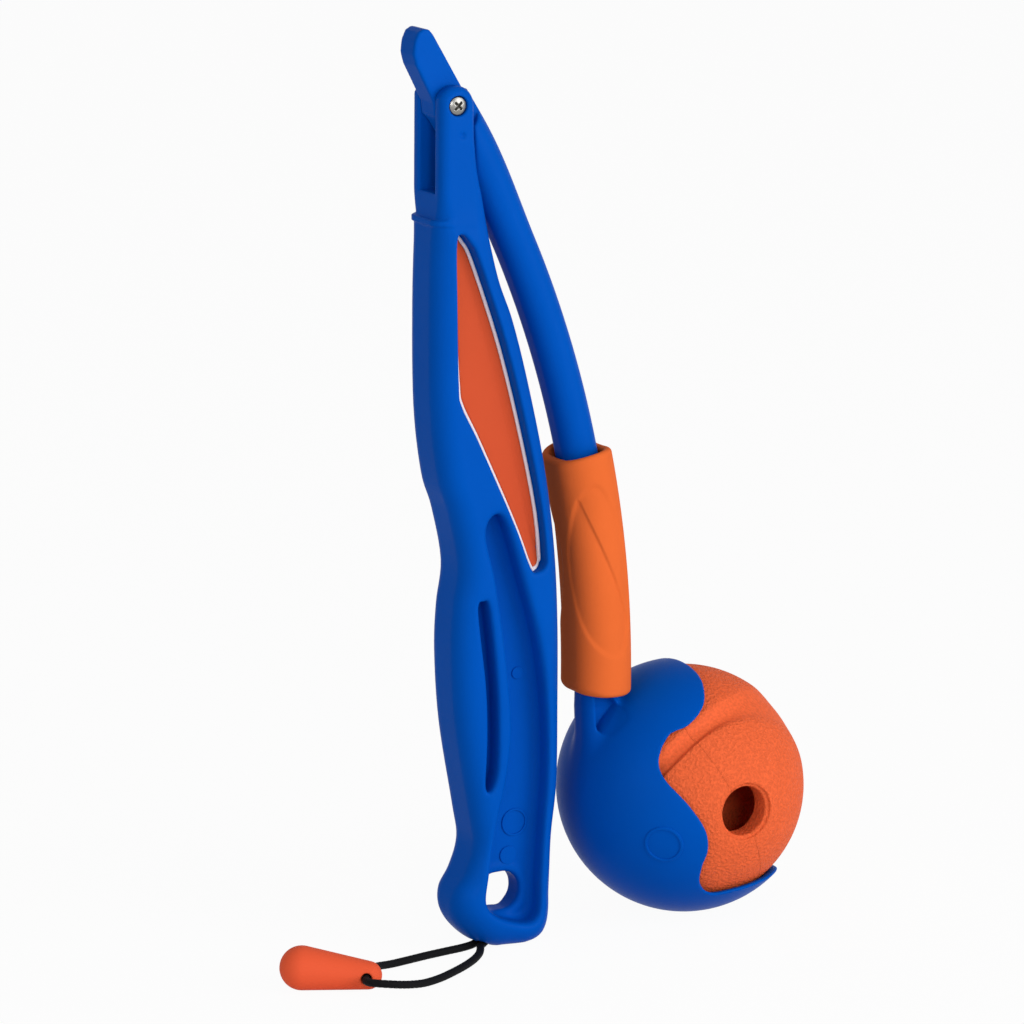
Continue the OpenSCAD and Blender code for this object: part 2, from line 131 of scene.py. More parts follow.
# Outlines as [x, z], close to those of the solids
front_edge = [[-3.4, 0], [-7.8, 1.4], [-12.2, 4.4], [-15.9, 8.8], [-17.2, 13.2], [-16.2, 18], [-12.6, 23],
              [-10, 30.5], [-11, 40], [-14.1, 64], [-14.6, 84], [-13.5, 97], [-11.5, 109], [-13.8, 124],
              [-16.5, 134], [-18, 153], [-17.1, 181], [-15.5, 203], [-14.8, 214], [-14, 224]]
back_edge = [[4.2, 0], [7.6, 0.6], [10.2, 2.3], [11.8, 5.3], [12.5, 9.5], [12.7, 16], [13.8, 30], [16.1, 45],
             [17.3, 67], [18.2, 92], [17.8, 113], [15.6, 135], [11.5, 158], [7.6, 175], [3.7, 187],
             [0.4, 203], [-1.9, 214], [-4, 224]]
label_outline = [[-8.6, 200.5], [-6.4, 198.2], [-3.7, 192.5], [3.1, 170], [8.3, 147], [12.4, 124],
                 [13.6, 110], [13.2, 106.7], [10.8, 105.4], [8.5, 106.8], [4.2, 119.3], [-5.8, 143.3],
                 [-10.6, 153.8], [-11.3, 160], [-10.8, 182], [-10.2, 198]]
recess_outline = [[-2, 122.6], [1.6, 120], [6.3, 103], [10.2, 86], [12, 69], [12, 52], [10.3, 35], [8.6, 20],
                  [7.9, 10.5], [6.2, 7.4], [3.2, 6.9], [-2, 8.5], [-5.6, 10.8], [-7.8, 12.9], [-8.6, 16],
                  [-7.2, 23], [-4.4, 36.8], [-1.7, 46], [0.4, 56], [1.2, 66], [0, 85], [-2.2, 104.5],
                  [-4.6, 117.5]]
slot_outline = [[-6.4, 99.4], [-4.5, 96.5], [-3, 74], [-3.6, 54], [-5.6, 46.8], [-7.6, 47.6], [-6.6, 62],
                [-6.5, 76], [-8, 96.5]]
neck_back = [[10.2, neck_foot], [7.9, -26], [6.4, -18.5], [5.5, -9]]
tongue_tip = [[6.1, 18.4], [5.9, 20.3], [4.7, 21.5], [2.8, 21.6], [0.6, 20.2], [-1.6, 17.6], [-2.6, 14.6],
              [-3.8, 3]]
cup_edge = [[0.6, 36], [0.2, 32.6], [-1.5, 29.8], [-4.9, 26.2], [-10.5, 22.7], [-15.7, 20.6], [-19.6, 15.2],
            [-19.5, 10.2], [-15.1, 3.5], [-11.4, -3.2], [-10.2, -9], [-10.9, -14.5], [-9.9, -19.7],
            [-5.5, -23.6], [2, -23.5], [12, -23], [19.5, -23], [21.5, -24.6], [22.4, -28]]
cup_beyond = [[25, -42], [-42, -42], [-42, 42]]
pocket_outline = [[29.3, 68], [29.3, 58.4], [29.6, 57.1], [30.5, 56.4], [31.7, 56.8], [36.1, 61],
                  [36.8, 62.4], [36, 63.8], [33, 68]]
# The sleeve's leaf as [way round from the middle of the side, height above the lower end], and its crease
leaf_outline = [[-1, 61.5], [-7.3, 58], [-12.3, 48], [-14.8, 39], [-12.7, 27], [-7.9, 17], [-1.4, 11.4],
                [3.8, 13.1], [6.8, 24], [7.2, 33], [5.8, 44], [2.9, 54.4]]
leaf_crease = np.array([[-7.3, 58.1], [5.0, 23.2]])

# The cord's route as its solid has it, and the pull on it
cord_r = 1.1
cord_route = [[-1.5, 2.2, 4.9], [-2.4, 1.5, 4], [-3.2, 0.8, 3.1], [-4, 0.1, 2.3], [-5.1, -0.8, 1.5],
              [-6.4, -1.9, 1.2], [-7.7, -3.1, 1.2], [-8.9, -4.6, 1.2], [-10.2, -7, 1.2], [-12.4, -10.3, 1.2],
              [-15.9, -14, 1.2], [-20.5, -17.6, 1.2], [-25.8, -20.9, 1.2], [-31.4, -23.8, 1.2],
              [-37.2, -26.1, 1.5], [-41.9, -27.6, 2.3], [-45.8, -28.6, 3.2], [-48.8, -28.8, 3.9],
              [-51.2, -28.1, 4.3], [-52.9, -26.2, 4.3], [-53.4, -23.8, 4.1], [-52.6, -21.4, 3.9],
              [-50.3, -17.9, 3.9], [-48, -14.4, 3.9], [-46.4, -12, 3.6], [-44.1, -8.9, 2.7],
              [-40.8, -6.2, 1.8], [-36.6, -5, 1.3], [-31, -4.1, 1.2], [-25, -3.3, 1.2], [-19, -2.8, 1.2],
              [-13.6, -2.4, 1.2], [-10.1, -1.5, 1.2], [-7.9, 0, 1.2], [-6.6, 1, 1.5], [-5.5, 1.9, 2.3],
              [-4.7, 2.5, 3.1], [-3.8, 3.2, 4], [-3, 3.9, 4.9]]
pull_big, pull_big_r = np.array([-65.3, -8.1, 6.1]), 6.1
pull_small, pull_small_r = np.array([-50.3, -17.9, 3.9]), 3.9
pull_hole_r, pull_hole_half, pull_hole_rim = 1.45, 9, 0.7


# Curves and distances

def curve(points, steps, closed=True):
    """Points of a smooth curve through the given ones."""
    p = np.asarray(points, float)
    n = len(p)
    made = []
    for i in range(n if closed else n - 1):
        a, b, c, d = (p[k % n if closed else min(max(k, 0), n - 1)] for k in range(i - 1, i + 3))
        for t in np.arange(steps)/steps:
            bend = a - 2.5*b + 2*c - d/2 + t*(1.5*(b - c) + (d - a)/2)
            made.append(b + t*((c - a)/2 + t*bend))
    return np.array(made if closed else made + [p[-1]])


def stretch(points):
    """An outline of the grip at its set length."""
    return np.asarray(points, float)*[1, grip_l/nominal_grip]


def arc(radius, start, end, steps):
    """Points of a part of a circle, from angles in degrees."""
    turn = np.radians(np.linspace(start, end, steps))
    return np.stack([radius*np.cos(turn), radius*np.sin(turn)], 1)


class Outline:
    """Signed distance to a closed outline in a plane, negative inside, read from a fine grid."""

    def __init__(self, points, cell=0.3, margin=6):
        points = np.asarray(points, float)
        self.cell = cell
        self.low = points.min(0) - margin
        self.count = np.ceil((points.max(0) + margin - self.low)/cell).astype(int) + 1
        x, z = np.meshgrid(*(low + cell*np.arange(n) for low, n in zip(self.low, self.count)), indexing="ij")
        nearest = np.full(x.shape, np.inf)
        inside = np.zeros(x.shape, bool)
        for a, b in zip(points, np.roll(points, -1, axis=0)):
            way = b - a
            along = np.clip(((x - a[0])*way[0] + (z - a[1])*way[1])/(way @ way), 0, 1)
            nearest = np.minimum(nearest, (x - a[0] - along*way[0])**2 + (z - a[1] - along*way[1])**2)
            if a[1] != b[1]:
                crosses = (a[1] > z) != (b[1] > z)
                inside ^= crosses & (x < a[0] + (z - a[1])*way[0]/way[1])
        self.grid = np.where(inside, -1, 1)*np.sqrt(nearest)

    def __call__(self, x, z):
        last = self.count - 1.001
        u = np.clip((x - self.low[0])/self.cell, 0, last[0])
        w = np.clip((z - self.low[1])/self.cell, 0, last[1])
        beyond = np.hypot(x - self.low[0] - u*self.cell, z - self.low[1] - w*self.cell)
        i, k = u.astype(int), w.astype(int)
        u, w, g = u - i, w - k, self.grid
        inner = (1 - u)*((1 - w)*g[i, k] + w*g[i, k + 1]) + u*((1 - w)*g[i + 1, k] + w*g[i + 1, k + 1])
        return inner + beyond


def either(a, b, blend):
    """Two shapes as one, with a fillet of about the blend's size."""
    share = np.clip(0.5 + 0.5*(b - a)/blend, 0, 1)
    return b + (a - b)*share - blend*share*(1 - share)


def both(a, b, blend):
    """What two shapes share, with the edge rounded."""
    return -either(-a, -b, blend)


def without(a, b, blend):
    """One shape cut by another, with the rim rounded."""
    return both(a, -b, blend)


def slab(distance, height, half, edge):
    """An outline thickened to both sides of the middle plane, with round edges."""
    u = distance + edge
    v = np.abs(height) - half + edge
    return np.minimum(np.maximum(u, v), 0) + np.hypot(np.maximum(u, 0), np.maximum(v, 0)) - edge


def bar(u, y, core, radius):
    """A bar's section: flat in the middle, with round ends."""
    return np.hypot(u, np.maximum(np.abs(y) - core, 0)) - radius


def rod(p, a, b, radius):
    """A straight rod with round ends."""
    way = b - a
    along = np.clip((p - a) @ way/(way @ way), 0, 1)
    return np.linalg.norm(p - a - along[:, None]*way, axis=1) - radius


def step(value, low, high):
    """A smooth rise from nothing to one."""
    t = np.clip((value - low)/(high - low), 0, 1)
    return t*t*(3 - 2*t)


def turned(x, z, centre, angle):
    """Place in a frame that is turned about Y at a centre."""
    x, z = x - centre[0], z - centre[2]
    return x*math.cos(angle) - z*math.sin(angle), x*math.sin(angle) + z*math.cos(angle)


# Meshes from distances

def surface(field, low, high, cell, block=24):
    """Corners and four-sided faces of a shape's surface: a net through the cells that it crosses."""
    half_diagonal, spare, room = 0.9, 2, 2
    low = np.asarray(low, float) - room*cell
    count = np.ceil((np.asarray(high, float) - low)/cell).astype(int) + room + 1
    reach = half_diagonal*block*cell + spare
    rows = np.array([count[1]*count[2], count[2], 1])
    corners = np.stack(np.meshgrid(*[np.arange(block + 1)]*3, indexing="ij"), -1)
    keys, points, faces = [], [], []
    for tile in np.ndindex(*(-(-count//block))):
        start = np.array(tile)*block
        if abs(field(low + (start[None] + block/2)*cell)[0]) > reach:
            continue
        at = low + (start + corners)*cell
        value = field(at.reshape(-1, 3)).reshape(corners.shape[:3])
        inside = value < 0
        total = np.zeros((block, block, block, 3))
        hits = np.zeros((block, block, block))
        for axis in range(3):
            one = [slice(0, block + 1)]*3
            two = [slice(0, block + 1)]*3
            one[axis], two[axis] = slice(0, block), slice(1, block + 1)
            a, b = value[tuple(one)], value[tuple(two)]
            crossed = inside[tuple(one)] != inside[tuple(two)]
            share = np.where(crossed, a/np.where(a == b, 1, a - b), 0)
            where = at[tuple(one)].copy()
            where[..., axis] += share*cell
            others = [k for k in range(3) if k != axis]
            for s in (0, 1):
                for t in (0, 1):
                    cut = [slice(0, block)]*3
                    cut[others[0]], cut[others[1]] = slice(s, s + block), slice(t, t + block)
                    cut = tuple(cut)
                    hits += crossed[cut]
                    total += np.where(crossed[cut][..., None], where[cut], 0)
            own = crossed[tuple([slice(0, block)]*3)]
            found = np.argwhere(own) + start
            outward = inside[tuple([slice(0, block)]*3)][own]
            b_step, c_step = rows[(axis + 1) % 3], rows[(axis + 2) % 3]
            key = found @ rows
            quad = np.stack([key - b_step - c_step, key - c_step, key, key - b_step], 1)
            quad[~outward] = quad[~outward][:, ::-1]
            faces.append(quad)
        full = hits > 0
        keys.append((np.argwhere(full) + start) @ rows)
        points.append(total[full]/hits[full][:, None])
    keys, points, faces = (np.concatenate(x) for x in (keys, points, faces))
    order = np.argsort(keys)
    return points[order], np.searchsorted(keys[order], faces)


def settle(field, points, cell, rounds=3):
    """Moves points onto the surface."""
    reach, least_slope, most_move = 0.02, 0.2, 0.5*cell
    for _ in range(rounds):
        value = field(points)
        slope = np.stack([field(points + reach*e) - field(points - reach*e) for e in np.eye(3)], 1)/(2*reach)
        move = slope*(value/np.maximum((slope**2).sum(1), least_slope))[:, None]
        length = np.linalg.norm(move, axis=1)
        points = points - move*np.minimum(1, most_move/np.maximum(length, 1e-9))[:, None]
    return points


def make_mesh(name, points, faces):
    """A smooth-shaded object from points in millimetres."""
    mesh = bpy.data.meshes.new(name)
    mesh.vertices.add(len(points))
    mesh.vertices.foreach_set("co", (points*MM).astype(np.float32).ravel())
    mesh.loops.add(faces.size)
    mesh.loops.foreach_set("vertex_index", faces.astype(np.int32).ravel())
    mesh.polygons.add(len(faces))
    mesh.polygons.foreach_set("loop_start", np.arange(0, faces.size, faces.shape[1], dtype=np.int32))
    mesh.update(calc_edges=True)
    mesh.validate()
    mesh.shade_smooth()
    made = bpy.data.objects.new(name, mesh)
    bpy.context.scene.collection.objects.link(made)
    return made


def build(name, field, low, high, cell):
    """An object from a shape's distance, the box that holds it and the size of the net's cells."""
    points, faces = surface(field, low, high, cell)
    return make_mesh(name, settle(field, points, cell), faces)


def place(piece, body, nodes, material):
    """Puts a piece on what it rides on, hides the solids that it stands for and gives it its material."""
    piece.data.materials.append(material)
    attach(piece, body)
    if nodes:
        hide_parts(*nodes)


# Handle

grip_points = np.concatenate([curve(front_edge, 6, closed=False), curve(back_edge, 6, closed=False)[::-1]])
grip_shape = Outline(stretch(grip_points), cell=0.4, margin=9)
label_shape = Outline(curve(stretch(label_outline), 10), cell=0.25, margin=4)
recess_shape = Outline(curve(stretch(recess_outline), 10), cell=0.3, margin=4)
slot_shape = Outline(curve(stretch(slot_outline), 10), cell=0.25, margin=4)
neck_front = [[-ear_r + neck_front_in, neck_foot]]
neck_round = [curve(neck_back, 6, closed=False), arc(ear_r, 0, ear_end, 22)]
neck_shape = Outline(np.concatenate([neck_front, *neck_round]))
level_out = np.array([-math.cos(cord_turn), -math.sin(cord_turn), 0])
slope_in = np.array([*(-level_out[:2]*math.cos(cord_slope)), math.sin(cord_slope)])
beside = np.array([-math.sin(cord_turn), math.cos(cord_turn), 0])


def neck_place(x, z):
    """Place in the leaning neck's own frame, from the hinge."""
    return turned(x, z, hinge, neck_lean)


def window_distance(x, z):
    """Distance to the lanyard window's rounded outline."""
    u = np.abs(x - window_middle[0]) - window_size[0]/2 + window_edge
    w = np.abs(z - window_middle[1]) - window_size[1]/2 + window_edge
    return np.minimum(np.maximum(u, w), 0) + np.hypot(np.maximum(u, 0), np.maximum(w, 0)) - window_edge


def cord_way(p):
    """The two holes that the cord comes down, their mouths, and the pocket that holds its knot."""
    cut = rod(p, cord_bend + slope_in*knot_along, cord_bend + slope_in*knot_end, knot_r + play)
    for s in (-1, 1):
        start = cord_bend + s*strand_half*beside
        cut = np.minimum(cut, rod(p, start, start + slope_in*cord_hole_l, cord_hole_r))
        cut = np.minimum(cut, rod(p, start, start + level_out*cord_mouth_l, cord_hole_r + mouth_play))
    return cut


def hex_reach(x, z):
    """How far out a place lies, measured square to a hexagon's sides."""
    return np.maximum(np.abs(x)*math.cos(math.pi/6) + np.abs(z)/2, np.abs(z))


def handle(p):
    """Grip, neck and fork, with all that is cut into them."""
    x, y, z = p.T
    side = np.abs(y)
    nx, nz = neck_place(x, z)
    reach = np.hypot(nx, nz)
    outline = grip_shape(x, z)
    slim = step(z, *slim_span)
    half = grip_half + (neck_half - slim_by - grip_half)*slim
    blunt = grip_edge + (neck_edge - grip_edge)*slim
    edge = blunt + foot_round*(1 - step(z, *foot_span))*(1 - foot_back_share*step(x, *foot_back_span))
    top = shoulder_z + shoulder_rise*step(x, *shoulder_span)
    grip = both(slab(outline, y, half, edge), z - top, top_round)
    neck = slab(neck_shape(nx, nz), y, neck_half, blunt)
    body = either(grip, neck, neck_fillet + neck_fillet*step(x, *neck_fillet_span))
    lip = np.maximum(slab(outline - lip_proud, y, half + lip_side, blunt), np.abs(z - lip_z) - lip_half)
    body = either(body, np.maximum(lip, x - lip_end), lip_round)
    body = without(body, np.maximum(side - fork_half, -fork_depth - nz), fork_rim)
    body = without(body, np.maximum(label_shape(x, z) - label_play, label_floor - side), label_rim)
    recess = slab(recess_shape(x, z), side - outside, outside - web_half, recess_edge)
    body = without(body, recess, recess_rim)
    slot = slab(slot_shape(x, z), side - outside, outside - slot_web_half, slot_edge)
    body = without(body, slot, slot_rim)
    window = window_distance(x, z)
    collar_half = (collar_far + web_half)/2
    collar = slab(window - collar_w, y - collar_far + collar_half, collar_half, collar_edge)
    body = either(body, collar, collar_fillet)
    body = without(body, window, window_rim)
    body = without(body, cord_way(p), cord_rim)
    body = without(body, np.linalg.norm(p - dimple, axis=1) - dimple_r, dimple_rim)
    body = without(body, reach - screw_r - play, screw_rim)
    head_seat = np.maximum(reach - head_r - head_play, y + neck_half - head_h - play)
    body = without(body, head_seat, head_rim)
    nut_seat = np.maximum(hex_reach(nx, nz) - nut_af/2 - play, neck_half - nut_t - play - y)
    body = without(body, nut_seat, nut_rim)
    return both(body, -z, floor_round)


def off_line(x, z, line):
    """Distance from a straight line through two points of a side."""
    way = (line[1] - line[0])/np.linalg.norm(line[1] - line[0])
    return np.abs((x - line[0, 0])*way[1] - (z - line[0, 1])*way[0])


def lean(x, z):
    """How far a label leans out: nothing at its back edge, most at its lower front edge."""
    never_zero = 0.1
    back, front = off_line(x, z, label_back), off_line(x, z, label_front)
    return label_lean*back/(back + front + never_zero)


def border(side):
    """White rim of a label, as a round bead on the pocket's floor."""
    def field(p):
        x, y, z = p.T
        height = side*y - label_floor
        rim = np.abs(label_shape(x, z) + (border_w + label_gap)/2) - (border_w - label_gap)/2
        return np.maximum(slab(rim, height, label_t + border_proud + lean(x, z), border_edge), -height)
    return field


def plate(side):
    """Face of a label, inside its rim."""
    def field(p):
        x, y, z = p.T
        height = side*y - label_floor
        edge = label_shape(x, z) + border_w + label_gap/2
        return np.maximum(slab(edge, height, label_t + lean(x, z), plate_edge), -height)
    return field


def floor_mark(x, z, inner, outer):
    """A low round mark on the near recess floor."""
    middle, half = (inner + outer)/2, (outer - inner)/2

    def field(p):
        reach = np.hypot(p[:, 0] - x, p[:, 2] - z)
        ring = reach - outer if inner == 0 else np.abs(reach - middle) - half
        return slab(ring, p[:, 1] + web_half, mark_h, mark_edge)
    return field


# Arm and cup

cup_curve = curve(cup_edge, 8, closed=False)*cup_r/nominal_cup
cup_keep = Outline(np.concatenate([cup_curve, cup_beyond]))
tongue_shape = Outline(np.concatenate([arc(ear_r, 180, 360, 24), tongue_tip]), cell=0.2)
pocket_shape = Outline(pocket_outline, cell=0.25)


def along_arm(x, z):
    """Place across the arm's curve, and the angle along it."""
    x, z = x - curve_centre[0], z - curve_centre[2]
    return np.hypot(x, z) - arm_r, np.arctan2(z, x)


def arm(p):
    """Shaft, tongue and cup as one moulding."""
    x, y, z = p.T
    side = np.abs(y)
    u, turn = along_arm(x, z)
    nx, nz = neck_place(x, z)
    from_hinge = np.hypot(nx, nz)
    swell = shoulder_swell*(1 - step(from_hinge, *swell_span))/2
    ends = np.maximum(turn - arm_spread, arm_low - turn)*arm_r
    section = bar(u - swell, y, arm_core, arm_half_w + swell)
    ear = np.maximum(np.minimum(neck_shape(nx, nz) - relief, from_hinge - shoulder_r), tongue_half - side)
    shaft = without(np.maximum(section, ends), ear, ear_rim)
    core = np.maximum(bar(u, y, arm_core, arm_half_w - core_inset), side - tongue_half)
    core = np.maximum(core, ends)
    tx, tz = turned(x, z, hinge, -arm_spread)
    tongue = slab(tongue_shape(tx, tz), y, tongue_half, tongue_edge)
    drop = bar(x - drop_x, y, arm_core, arm_half_w)
    drop = np.maximum(drop, np.maximum(z - drop_z - drop_lap, ball_centre[2] + drop_end - z))
    whole = either(np.minimum(np.minimum(shaft, drop), core), tongue, tongue_fillet)
    off = p - ball_centre
    reach = np.linalg.norm(off, axis=1)
    shell = slab(cup_keep(off[:, 0], off[:, 2]), reach - cup_r + cup_wall/2, cup_wall/2, cup_rim_edge)
    whole = either(whole, shell, cup_fillet)
    pocket = slab(pocket_shape(x, z), side - outside, pocket_half, pocket_edge)
    whole = without(whole, np.maximum(pocket, cup_r + pocket_floor - reach), pocket_rim)
    whole = np.maximum(whole, cup_r - cup_wall - reach)
    return np.maximum(whole, screw_r + tongue_play - from_hinge)


def cup_ring(p):
    """A fine raised ring on the cup's near side."""
    off = p - ball_centre
    ring = np.abs(np.linalg.norm(off - ring_at, axis=1) - ring_r) - ring_half
    return slab(ring, np.linalg.norm(off, axis=1) - cup_r, ring_proud, ring_edge)


# Sleeve

leaf_shape = Outline(curve(leaf_outline, 6), cell=0.25)
crease_way = (leaf_crease[1] - leaf_crease[0])/np.linalg.norm(leaf_crease[1] - leaf_crease[0])


def leaf(round_way, height):
    """Depth of the sunk leaf: two facets that meet at a crease."""
    across = (round_way - leaf_crease[0, 0])*-crease_way[1] + (height - leaf_crease[0, 1])*crease_way[0]
    lower = leaf_depth + leaf_deeper*np.exp(-np.abs(across)/leaf_fade)
    facets = lower + (leaf_depth - lower)*step(across, -crease_half, crease_half)
    return facets*step(-leaf_shape(round_way, height), *leaf_rim_span)


def sleeve(p):
    """A curved tube with a leaf sunk into both sides."""
    x, y, z = p.T
    side = np.abs(y)
    u, turn = along_arm(x, z)
    along = (turn - sleeve_low)*arm_r
    corner = np.sign(u)*(sleeve_half_w*math.pi/2 + sleeve_core - side)
    round_way = np.where(side > sleeve_core, sleeve_half_w*np.arctan2(u, side - sleeve_core), corner)
    wall = bar(u, y, sleeve_core, sleeve_half_w) + leaf(round_way, along)
    edge = sleeve_edge + sleeve_corner*step(-u, *corner_across_span)*(1 - step(along, *corner_along_span))
    length = sleeve_l + sleeve_bow*np.minimum(side/(sleeve_core + sleeve_half_w), bow_most)**2
    outer = slab(wall, along - length/2, length/2, edge)
    return without(outer, bar(u, y, bore_core, bore_half_w), bore_rim)


# Ball

def ball(p):
    """A hollow ball with two holes and a groove."""
    off = p - ball_centre
    reach = np.linalg.norm(off, axis=1)
    across = off @ groove_way
    past = np.maximum(off[:, 0] - groove_from, 0)
    low = groove_low - groove_widen*past**2
    soft = groove_soft + groove_softer*past
    upper = step(across, groove_high - groove_rise - soft, groove_high + groove_over + soft/2)
    sunk = step(across, low - soft, low + soft)*(1 - upper)
    depth = groove_depth*(1 - groove_fade*step(past, *groove_fade_span))*sunk
    shell = both(reach - ball_r + depth, ball_r - ball_wall - reach, ball_blend)
    along = off @ hole_way
    hole = np.linalg.norm(off - along[:, None]*hole_way, axis=1)
    rim_at = math.sqrt(ball_r**2 - ball_hole_r**2) - hole_rim_depth
    rim = np.maximum(hole - ball_hole_r - hole_rim_w, rim_at - np.abs(along))
    return without(without(shell, rim, hole_rim_edge), hole - ball_hole_r, hole_edge)


# Screw, nut, knot and pull

def screw(p):
    """Domed head with a cross, on a plain shank."""
    nx, nz = neck_place(p[:, 0], p[:, 2])
    reach = np.hypot(nx, nz)
    depth = p[:, 1] + neck_half
    dome = np.hypot(reach, depth - dome_r) - dome_r
    head = both(slab(reach - head_r, depth - head_h/2, head_h/2, head_edge), dome, head_edge)
    shank = slab(reach - screw_r, p[:, 1], neck_half, head_edge)
    a, b = np.abs(nx + nz)/math.sqrt(2), np.abs(nx - nz)/math.sqrt(2)
    one = np.maximum(a - cross_half, b - cross_reach)
    other = np.maximum(b - cross_half, a - cross_reach)
    cross = np.minimum(one, other) + cross_taper*np.maximum(depth - cross_taper_from, 0)
    whole = either(head, np.maximum(shank, shank_from - depth), shank_fillet)
    return without(whole, np.maximum(cross, depth - cross_depth), cross_rim)


def nut(p):
    """Hexagon nut with its corners rounded off, round the screw's end."""
    nx, nz = neck_place(p[:, 0], p[:, 2])
    reach = np.hypot(nx, nz)
    depth = neck_half - p[:, 1]
    body = slab(hex_reach(nx, nz) - nut_af/2, depth - nut_t/2, nut_t/2, nut_edge)
    chamfer = (reach - nut_af/2 - chamfer_out - chamfer_slope*depth)*chamfer_scale
    return without(both(body, chamfer, nut_round), reach - screw_r - nut_play, nut_hole_rim)


knot_turn = np.linspace(0, 2*math.pi, knot_steps, endpoint=False)
knot_line = np.stack([np.sin(knot_turn) + 2*np.sin(2*knot_turn), np.cos(knot_turn) - 2*np.cos(2*knot_turn),
                      -1.5*np.sin(3*knot_turn)], 1)*knot_scale


def knot(p):
    """An overhand knot, drawn tight."""
    off = p - cord_bend - slope_in*knot_along
    local = np.stack([off @ beside, off @ np.cross(slope_in, beside), off @ slope_in], 1)
    near = np.full(len(p), np.inf)
    for q in knot_line:
        near = np.minimum(near, np.linalg.norm(local - q, axis=1))
    return either(near - knot_strand_r, np.linalg.norm(local, axis=1) - knot_heart_r, knot_fillet)


def round_cone(p, a, b, ra, rb):
    """Two balls and the cone that wraps them."""
    way = b - a
    length = np.linalg.norm(way)
    off = p - a
    h = off @ (way/length)
    q = np.linalg.norm(off - h[:, None]*way/length, axis=1)
    sine = (ra - rb)/length
    cosine = math.sqrt(1 - sine*sine)
    k = h*cosine - q*sine
    cone = q*cosine + h*sine - ra
    ball_a, ball_b = np.hypot(q, h) - ra, np.hypot(q, h - length) - rb
    return np.where(k < 0, ball_a, np.where(k > length*cosine, ball_b, cone))


def pull(p):
    """The cord's pull, with the hole that the cord runs through."""
    body = round_cone(p, pull_big, pull_small, pull_big_r, pull_small_r)
    way = pull_small - pull_big
    across = np.array([-way[1], way[0], 0])/np.hypot(way[0], way[1])
    hole = rod(p, pull_small - pull_hole_half*across, pull_small + pull_hole_half*across, pull_hole_r)
    return without(body, hole, pull_hole_rim)


# Cord

def cord_mesh():
    """A tube along the route with the small lozenges of a braid, the line that it follows, and its length."""
    ring_space, sides, strands, lozenge, relief_depth = 0.28, 24, 4, 1.5, 0.1
    fine = curve(cord_route, 12, closed=False)
    length = np.concatenate([[0], np.cumsum(np.linalg.norm(np.diff(fine, axis=0), axis=1))])
    s = np.linspace(0, length[-1], int(length[-1]/ring_space))
    line = np.stack([np.interp(s, length, fine[:, k]) for k in range(3)], 1)
    way = np.gradient(line, axis=0)
    way /= np.linalg.norm(way, axis=1)[:, None]
    turn = 2*math.pi*np.arange(sides)/sides
    up = np.cross(way[0], [0, 0, 1.0])
    rings = []
    for at, ahead, along in zip(line, way, s):
        up = up - ahead*(up @ ahead)
        up /= np.linalg.norm(up)
        phase = 2*math.pi*along/lozenge
        braid = np.maximum(np.cos(strands*turn + phase), np.cos(strands*turn - phase))
        radius = cord_r - relief_depth/2*(1 - braid)
        across = np.cos(turn)[:, None]*up + np.sin(turn)[:, None]*np.cross(ahead, up)
        rings.append(at + radius[:, None]*across)
    points = np.concatenate([np.concatenate(rings), line[[0, -1]]])
    a = np.arange((len(line) - 1)*sides)
    b = a//sides*sides + (a + 1) % sides
    walls = np.stack([a, b, b + sides, a + sides], 1).tolist()
    last = (len(line) - 1)*sides
    first_cap = [(len(points) - 2, (k + 1) % sides, k) for k in range(sides)]
    last_cap = [(len(points) - 1, last + k, last + (k + 1) % sides) for k in range(sides)]
    made = bpy.data.meshes.new("cord_piece")
    made.from_pydata((points*MM).tolist(), [], walls + first_cap + last_cap)
    made.shade_smooth()
    piece = bpy.data.objects.new("cord_piece", made)
    bpy.context.scene.collection.objects.link(piece)
    return piece, line*MM, float(length[-1]*MM)


# Materials

def add(tree, kind, values, **settings):
    """A node with its sockets set, or linked where the value is another node's output."""
    made = tree.nodes.new(kind)
    for name, value in settings.items():
        setattr(made, name, value)
    for socket, value in values.items():
        if isinstance(value, bpy.types.NodeSocket):
            tree.links.new(value, made.inputs[socket])
        else:
            made.inputs[socket].default_value = value
    return made


def noise(tree, where, scale, detail):
    """The value of a noise texture."""
    return add(tree, "ShaderNodeTexNoise", {"Vector": where, "Scale": scale, "Detail": detail}).outputs[0]


def ranged(tree, value, start, end, low, high):
    """A value spread from one span onto another."""
    return add(tree, "ShaderNodeMapRange", {"Value": value, "From Min": start, "From Max": end,
                                            "To Min": low, "To Max": high}).outputs[0]


def maths(tree, kind, a, b=0.0, **settings):
    """The result of a sum on one or two values."""
    return add(tree, "ShaderNodeMath", {0: a, 1: b}, operation=kind, **settings).outputs[0]


def tinted(tree, share, dark, light):
    """A colour between two."""
    return add(tree, "ShaderNodeMix", {0: share, 6: (*dark, 1), 7: (*light, 1)}, data_type="RGBA").outputs[2]


def start_material(name, colour, specular):
    material = bpy.data.materials.new(name)
    material.use_nodes = True
    tree = material.node_tree
    shader = tree.nodes["Principled BSDF"]
    shader.inputs["Base Color"].default_value = (*colour, 1)
    shader.inputs["Specular IOR Level"].default_value = specular
    where = add(tree, "ShaderNodeTexCoord", {}).outputs["Object"]
    return material, tree, shader, where


def dress(tree, shader, tint, gloss, height, depth):
    """Links a shader's colour, roughness and relief, whose depth is in millimetres."""
    bump = add(tree, "ShaderNodeBump", {"Height": height, "Strength": 1.0, "Distance": depth*MM}).outputs[0]
    tree.links.new(tint, shader.inputs["Base Color"])
    tree.links.new(gloss, shader.inputs["Roughness"])
    tree.links.new(bump, shader.inputs["Normal"])


